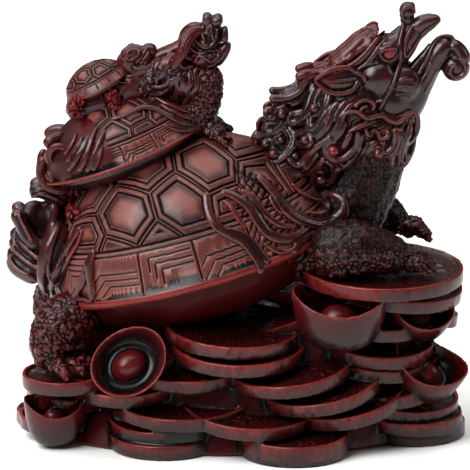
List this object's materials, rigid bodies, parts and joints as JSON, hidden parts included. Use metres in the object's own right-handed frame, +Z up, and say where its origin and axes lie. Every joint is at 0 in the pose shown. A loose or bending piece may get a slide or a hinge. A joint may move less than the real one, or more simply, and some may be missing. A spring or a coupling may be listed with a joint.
{
  "type": "dragon turtle figure",
  "caption": "Cast figure of a dragon-headed turtle on a heap of coins and ingots, with a smaller one and a plain turtle riding on its shell.",
  "frame": {"origin": "middle of the flat underside, below the middle of the figure's box", "axes": "+X towards the way that the three heads look, +Y to the turtles' left, +Z up"},
  "size_m": [0.1501, 0.0911, 0.1411],
  "materials": {
    "resin": "dark red-brown filled resin, semi-gloss, near black in the recesses and rubbed redder on the edges"
  },
  "bodies": {
    "root": {"dragon_turtle": "resin"}
  },
  "joints": []
}
